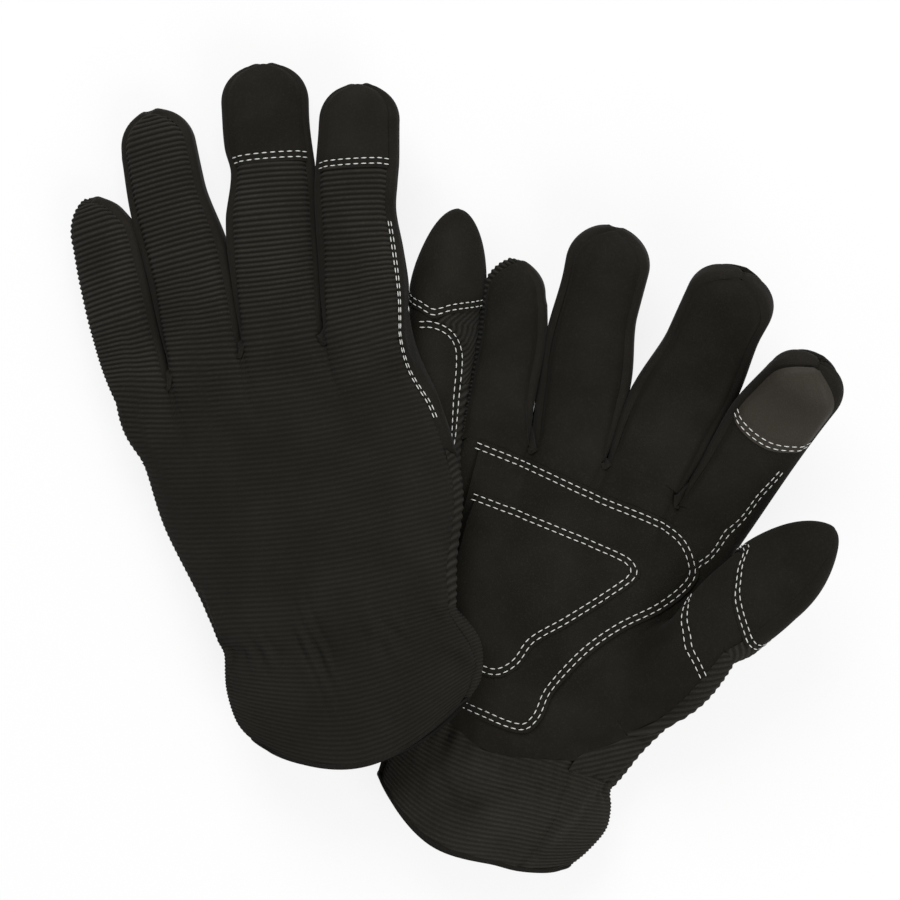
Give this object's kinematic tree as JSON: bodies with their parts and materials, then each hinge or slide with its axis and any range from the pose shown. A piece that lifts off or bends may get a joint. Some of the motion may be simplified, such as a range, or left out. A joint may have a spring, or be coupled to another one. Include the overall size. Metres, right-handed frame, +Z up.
{
  "type": "pair of work gloves",
  "caption": "Pair of sewn work gloves with ribbed knit backs, leather palms, sewn-on palm patches, fingertip caps and gathered cuffs, lying one on the other.",
  "frame": {"origin": "on the ground under the middle of the pair's box", "axes": "+Z up, +Y to the fingertips of the gloves as they lie, +X to the right glove's thumb"},
  "size_m": [0.2772, 0.2944, 0.0505],
  "materials": {
    "ribbed_knit": "matt ribbed knit",
    "synthetic_leather": "matt suede",
    "patch_leather": "matt suede",
    "touch_leather": "matt, a little smoother",
    "side_fabric": "matt smooth fabric",
    "hem_tape": "matt woven tape",
    "elastic": "matt"
  },
  "bodies": {
    "right_hand": {"right_back_panel": "ribbed_knit", "right_palm_panel": "synthetic_leather", "right_cuff_panel": "ribbed_knit", "right_hem_binding": "hem_tape", "right_wrist_elastic": "elastic", "right_thumb_gusset": "ribbed_knit", "right_thumb_saddle": "synthetic_leather", "right_index_web": "synthetic_leather", "right_crotch_gussets": "side_fabric", "right_palm_patch": "patch_leather", "right_heel_patch": "patch_leather"},
    "right_index": {"right_index_back": "ribbed_knit", "right_index_front": "synthetic_leather", "right_index_fourchette": "side_fabric", "right_index_cap": "synthetic_leather", "right_index_touch_tip": "touch_leather"},
    "right_middle": {"right_middle_back": "ribbed_knit", "right_middle_front": "synthetic_leather", "right_middle_fourchettes": "side_fabric", "right_middle_cap": "synthetic_leather"},
    "right_ring": {"right_ring_back": "ribbed_knit", "right_ring_front": "synthetic_leather", "right_ring_fourchettes": "side_fabric"},
    "right_pinky": {"right_pinky_back": "ribbed_knit", "right_pinky_front": "synthetic_leather", "right_pinky_fourchette": "side_fabric"},
    "right_thumb": {"right_thumb_back": "ribbed_knit", "right_thumb_front": "synthetic_leather", "right_thumb_cap": "synthetic_leather"},
    "left_hand": {"left_back_panel": "ribbed_knit", "left_palm_panel": "synthetic_leather", "left_cuff_panel": "ribbed_knit", "left_hem_binding": "hem_tape", "left_wrist_elastic": "elastic", "left_thumb_gusset": "ribbed_knit", "left_thumb_saddle": "synthetic_leather", "left_index_web": "synthetic_leather", "left_crotch_gussets": "side_fabric", "left_palm_patch": "patch_leather", "left_heel_patch": "patch_leather"},
    "left_index": {"left_index_back": "ribbed_knit", "left_index_front": "synthetic_leather", "left_index_fourchette": "side_fabric", "left_index_cap": "synthetic_leather", "left_index_touch_tip": "touch_leather"},
    "left_middle": {"left_middle_back": "ribbed_knit", "left_middle_front": "synthetic_leather", "left_middle_fourchettes": "side_fabric", "left_middle_cap": "synthetic_leather"},
    "left_ring": {"left_ring_back": "ribbed_knit", "left_ring_front": "synthetic_leather", "left_ring_fourchettes": "side_fabric"},
    "left_pinky": {"left_pinky_back": "ribbed_knit", "left_pinky_front": "synthetic_leather", "left_pinky_fourchette": "side_fabric"},
    "left_thumb": {"left_thumb_back": "ribbed_knit", "left_thumb_front": "synthetic_leather", "left_thumb_cap": "synthetic_leather"}
  },
  "joints": [
    {"name": "left_glove_lift", "type": "slide", "parent": "right_hand", "child": "left_hand", "axis": [0, 0, 1], "range_m": [0, 0.12]},
    {"name": "left_index_bend", "type": "hinge", "parent": "left_hand", "child": "left_index", "pos_m": [-0.03027, 0.06098, 0.02006], "axis": [-0.9756, -0.0696, -0.2085], "range_deg": [0, 70], "stiffness_Nm_per_rad": 0.08},
    {"name": "left_middle_bend", "type": "hinge", "parent": "left_hand", "child": "left_middle", "pos_m": [-0.05967, 0.06076, 0.01329], "axis": [-0.9781, -0.1259, -0.1656], "range_deg": [0, 70], "stiffness_Nm_per_rad": 0.08},
    {"name": "left_ring_bend", "type": "hinge", "parent": "left_hand", "child": "left_ring", "pos_m": [-0.08678, 0.0518, 0.00683], "axis": [-0.9548, -0.2725, -0.119], "range_deg": [0, 70], "stiffness_Nm_per_rad": 0.08},
    {"name": "left_pinky_bend", "type": "hinge", "parent": "left_hand", "child": "left_pinky", "pos_m": [-0.11002, 0.0405, 0.00122], "axis": [-0.9502, -0.3003, -0.083], "range_deg": [0, 70], "stiffness_Nm_per_rad": 0.08},
    {"name": "left_thumb_bend", "type": "hinge", "parent": "left_hand", "child": "left_thumb", "pos_m": [-0.00348, 0.03393, 0.00337], "axis": [-0.9696, 0.105, -0.221], "range_deg": [0, 45], "stiffness_Nm_per_rad": 0.08},
    {"name": "right_index_bend", "type": "hinge", "parent": "right_hand", "child": "right_index", "pos_m": [0.09066, -0.017, 0.0251], "axis": [0.856, -0.5143, -0.0523], "range_deg": [0, 70], "stiffness_Nm_per_rad": 0.08},
    {"name": "right_middle_bend", "type": "hinge", "parent": "right_hand", "child": "right_middle", "pos_m": [0.06773, -0.00025, 0.0251], "axis": [0.8949, -0.4462, 0], "range_deg": [0, 70], "stiffness_Nm_per_rad": 0.08},
    {"name": "right_ring_bend", "type": "hinge", "parent": "right_hand", "child": "right_ring", "pos_m": [0.04153, 0.00808, 0.0251], "axis": [0.971, -0.2331, 0.0523], "range_deg": [0, 70], "stiffness_Nm_per_rad": 0.08},
    {"name": "right_pinky_bend", "type": "hinge", "parent": "right_hand", "child": "right_pinky", "pos_m": [0.01716, 0.01218, 0.0251], "axis": [0.9839, -0.1558, 0.0872], "range_deg": [0, 70], "stiffness_Nm_per_rad": 0.08},
    {"name": "right_thumb_bend", "type": "hinge", "parent": "right_hand", "child": "right_thumb", "pos_m": [0.08974, -0.05549, 0.04353], "axis": [0.6157, -0.788, 0], "range_deg": [0, 45], "stiffness_Nm_per_rad": 0.08}
  ]
}
